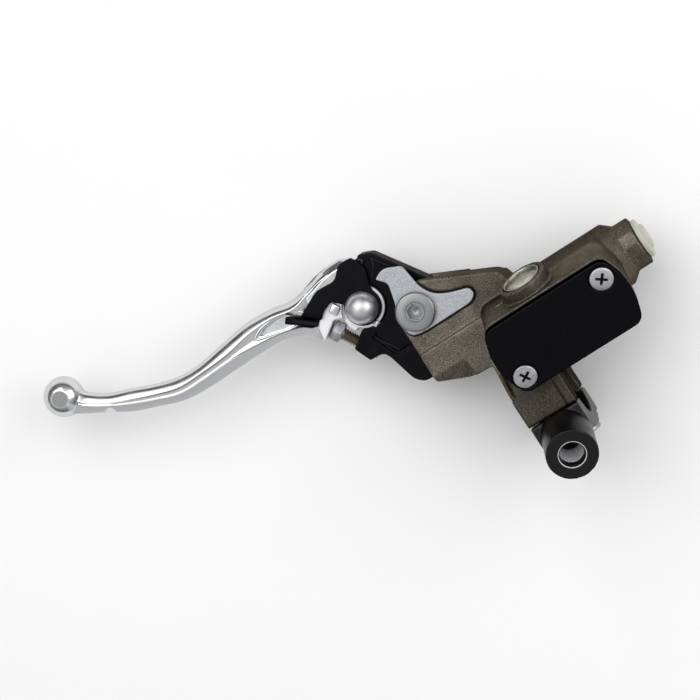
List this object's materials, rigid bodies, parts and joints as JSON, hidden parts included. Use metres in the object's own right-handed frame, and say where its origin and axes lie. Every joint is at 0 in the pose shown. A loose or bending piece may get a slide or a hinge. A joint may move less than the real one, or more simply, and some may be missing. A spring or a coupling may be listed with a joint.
{
  "type": "brake master cylinder",
  "caption": "Motorcycle brake master cylinder with an oblong fluid reservoir, a handlebar clamp with a mirror boss, and a ball-ended lever whose reach is set by a screw.",
  "frame": {"origin": "centre of the handlebar clamp's bore, on the bar's axis at the middle of the clamp's width", "axes": "+X along the handlebar towards the hydraulic outlet, +Y forward away from the rider, +Z along the lever's pivot axis towards the pivot bolt's head"},
  "size_m": [0.2371, 0.1401, 0.0613],
  "materials": {
    "body_casting": "hard-anodised grey-brown casting with a fine metallic grain",
    "black_anodised": "satin black anodised",
    "black_lid": "satin black",
    "zinc_fasteners": "bright zinc plate",
    "natural_plastic": "natural translucent white",
    "rubber_seals": "moulded black rubber",
    "cream_backing": "matte cream",
    "sight_glass": "clear window",
    "polished_aluminium": "polished",
    "polished_steel": "polished ball",
    "blasted_aluminium": "bead-blasted silver",
    "turned_steel": "turned and satin",
    "spring_steel": "drawn wire",
    "anodised_piston": "clear anodised",
    "bronze_bush": "sintered bronze"
  },
  "bodies": {
    "root": {"cylinder_body": "body_casting", "clamp_cap": "black_anodised", "clamp_bolt_upper": "zinc_fasteners", "clamp_bolt_lower": "zinc_fasteners", "reservoir_lid": "black_lid", "diaphragm_plate": "natural_plastic", "diaphragm": "rubber_seals", "lid_screw_rear": "zinc_fasteners", "lid_screw_front": "zinc_fasteners", "sight_backing": "cream_backing", "sight_glass": "sight_glass", "sight_ring": "polished_aluminium", "outlet_plug": "natural_plastic", "return_spring": "spring_steel", "stop_washer": "spring_steel", "circlip": "spring_steel", "dust_boot": "rubber_seals", "pivot_plate": "blasted_aluminium", "pivot_bolt": "turned_steel", "pivot_nut": "zinc_fasteners"},
    "lever": {"lever_base": "black_anodised", "pivot_bush": "bronze_bush", "ball_pin": "polished_steel", "pin_clip": "zinc_fasteners", "reach_spring": "spring_steel"},
    "blade": {"lever_blade": "polished_aluminium", "joint_cover": "black_anodised"},
    "adjuster": {"reach_screw": "turned_steel"},
    "plunger": {"piston": "anodised_piston", "primary_cup": "rubber_seals", "secondary_cup": "rubber_seals"}
  },
  "joints": [
    {"name": "lever_squeeze", "type": "hinge", "parent": "root", "child": "lever", "pos_m": [-0.024, 0.058, 0], "axis": [0, 0, 1], "range_deg": [0, 20], "stiffness_Nm_per_rad": 0.6, "springref_deg": -20.05},
    {"name": "piston_stroke", "type": "slide", "parent": "root", "child": "plunger", "axis": [1, 0, 0], "range_m": [0, 0.0079], "deforming": ["return_spring"]},
    {"name": "blade_reach", "type": "hinge", "parent": "lever", "child": "blade", "pos_m": [-0.0416, 0.0702, 0], "axis": [0, 0, 1], "range_deg": [-4, 4], "deforming": ["reach_spring"]},
    {"name": "reach_screw_travel", "type": "slide", "parent": "lever", "child": "adjuster", "axis": [0.507, -0.862, 0], "range_m": [-0.001, 0.001]}
  ],
  "couplings": [
    {"joint": "piston_stroke", "follows": "lever_squeeze", "m_per_rad": 0.0224},
    {"joint": "reach_screw_travel", "follows": "blade_reach", "m_per_rad": 0.0141}
  ]
}
